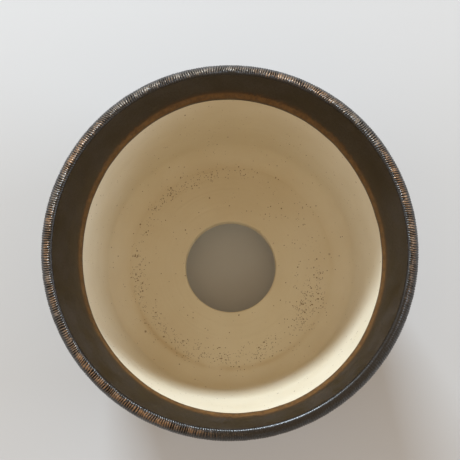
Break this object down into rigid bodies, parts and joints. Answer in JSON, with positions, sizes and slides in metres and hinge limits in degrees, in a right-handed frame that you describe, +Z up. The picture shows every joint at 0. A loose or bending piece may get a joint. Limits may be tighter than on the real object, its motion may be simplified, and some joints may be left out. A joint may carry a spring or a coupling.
{
  "type": "bonsai pot",
  "caption": "Small round stoneware bonsai pot with a flared glazed lip, a combed bronze-brown outside, a bare clay inside, a large drain hole and luted feet.",
  "frame": {"origin": "on the pot's axis at the ground, under the feet", "axes": "+Z up along the pot's axis through the mouth, -Y towards the front foot"},
  "size_m": [0.126, 0.126, 0.097],
  "materials": {
    "bare_clay": "unglazed cream stoneware with iron specks",
    "combed_glaze": "satin bronze-brown glaze over combed clay",
    "lip_glaze": "metallic bronze glaze, broken by fine comb marks",
    "smooth_glaze": "smooth satin dark brown glaze"
  },
  "bodies": {
    "root": {"wall": "bare_clay", "lip_ring": "bare_clay", "floor_disc": "bare_clay", "outer_glaze": "combed_glaze", "lip_glaze": "lip_glaze", "inner_glaze": "smooth_glaze", "front_foot": "bare_clay", "front_foot_glaze": "smooth_glaze", "right_foot": "bare_clay", "right_foot_glaze": "smooth_glaze", "left_foot": "bare_clay", "left_foot_glaze": "smooth_glaze"}
  },
  "joints": []
}
